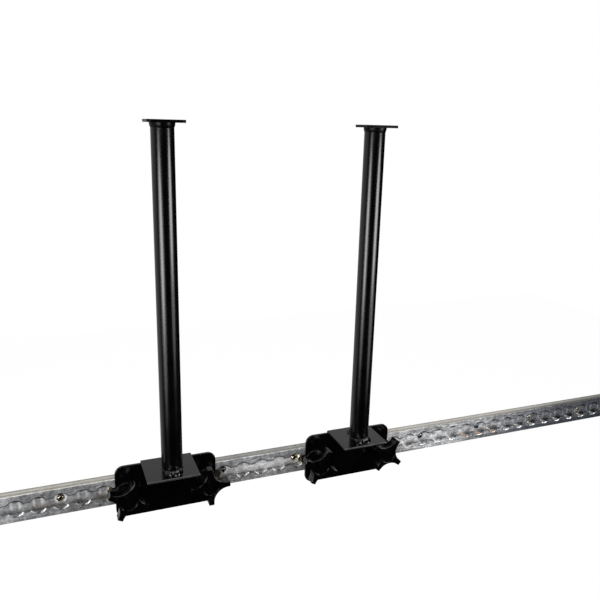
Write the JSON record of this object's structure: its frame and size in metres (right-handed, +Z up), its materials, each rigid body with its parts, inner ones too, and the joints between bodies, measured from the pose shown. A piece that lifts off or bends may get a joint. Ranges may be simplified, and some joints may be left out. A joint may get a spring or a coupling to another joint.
{
  "type": "boot rack",
  "caption": "Wall-mounted slotted aluminium track with sliding black steel posts, each on a plate clamped by hand knobs and topped by a small plate, to hold tall boots upside down.",
  "frame": {"origin": "middle of the track's back face, on the wall", "axes": "+X along the track to the right as seen from the front, +Y into the wall, +Z up the posts"},
  "size_m": [1.2192, 0.0981, 0.4826],
  "materials": {
    "worn_aluminium": "extruded, scratched and scuffed from use",
    "screw_steel": "dull zinc",
    "black_powder_coat": "semi-gloss powder coat",
    "zinc_steel": "bright zinc plate",
    "black_zinc": "black zinc plate",
    "black_knob": "satin moulded plastic",
    "insert_brass": "turned"
  },
  "bodies": {
    "rail": {"rail": "worn_aluminium", "rail_screws": "screw_steel"},
    "left_rack": {"left_back_plate": "black_powder_coat", "left_shelf_plate": "black_powder_coat", "left_post_tube": "black_powder_coat", "left_top_plate": "black_powder_coat", "left_track_stud_1": "zinc_steel", "left_track_stud_2": "zinc_steel"},
    "left_washer_1_body": {"left_washer_1": "black_zinc"},
    "left_knob_1_body": {"left_knob_1": "black_knob", "left_knob_insert_1": "insert_brass"},
    "left_washer_2_body": {"left_washer_2": "black_zinc"},
    "left_knob_2_body": {"left_knob_2": "black_knob", "left_knob_insert_2": "insert_brass"},
    "right_rack": {"right_back_plate": "black_powder_coat", "right_shelf_plate": "black_powder_coat", "right_post_tube": "black_powder_coat", "right_top_plate": "black_powder_coat", "right_track_stud_1": "zinc_steel", "right_track_stud_2": "zinc_steel"},
    "right_washer_1_body": {"right_washer_1": "black_zinc"},
    "right_knob_1_body": {"right_knob_1": "black_knob", "right_knob_insert_1": "insert_brass"},
    "right_washer_2_body": {"right_washer_2": "black_zinc"},
    "right_knob_2_body": {"right_knob_2": "black_knob", "right_knob_insert_2": "insert_brass"}
  },
  "joints": [
    {"name": "left_rack_slide", "type": "slide", "parent": "rail", "child": "left_rack", "axis": [1, 0, 0], "range_m": [-0.2794, 0.0508]},
    {"name": "left_knob_1_travel", "type": "slide", "parent": "left_rack", "child": "left_washer_1_body", "axis": [0, -1, 0], "range_m": [0, 0.01111]},
    {"name": "left_knob_1_turn", "type": "hinge", "parent": "left_washer_1_body", "child": "left_knob_1_body", "pos_m": [-0.3175, -0.01588, 0], "axis": [0, -1, 0], "range_deg": [0, 2520]},
    {"name": "left_knob_2_travel", "type": "slide", "parent": "left_rack", "child": "left_washer_2_body", "axis": [0, -1, 0], "range_m": [0, 0.01111]},
    {"name": "left_knob_2_turn", "type": "hinge", "parent": "left_washer_2_body", "child": "left_knob_2_body", "pos_m": [-0.2159, -0.01588, 0], "axis": [0, -1, 0], "range_deg": [0, 2520]},
    {"name": "right_rack_slide", "type": "slide", "parent": "rail", "child": "right_rack", "axis": [1, 0, 0], "range_m": [-0.0508, 0.5588]},
    {"name": "right_knob_1_travel", "type": "slide", "parent": "right_rack", "child": "right_washer_1_body", "axis": [0, -1, 0], "range_m": [0, 0.01111]},
    {"name": "right_knob_1_turn", "type": "hinge", "parent": "right_washer_1_body", "child": "right_knob_1_body", "pos_m": [-0.0635, -0.01588, 0], "axis": [0, -1, 0], "range_deg": [0, 2520]},
    {"name": "right_knob_2_travel", "type": "slide", "parent": "right_rack", "child": "right_washer_2_body", "axis": [0, -1, 0], "range_m": [0, 0.01111]},
    {"name": "right_knob_2_turn", "type": "hinge", "parent": "right_washer_2_body", "child": "right_knob_2_body", "pos_m": [0.0381, -0.01588, 0], "axis": [0, -1, 0], "range_deg": [0, 2520]}
  ],
  "couplings": [
    {"joint": "left_knob_1_travel", "follows": "left_knob_1_turn", "m_per_rad": 0.00025266},
    {"joint": "left_knob_2_travel", "follows": "left_knob_2_turn", "m_per_rad": 0.00025266},
    {"joint": "right_knob_1_travel", "follows": "right_knob_1_turn", "m_per_rad": 0.00025266},
    {"joint": "right_knob_2_travel", "follows": "right_knob_2_turn", "m_per_rad": 0.00025266}
  ]
}
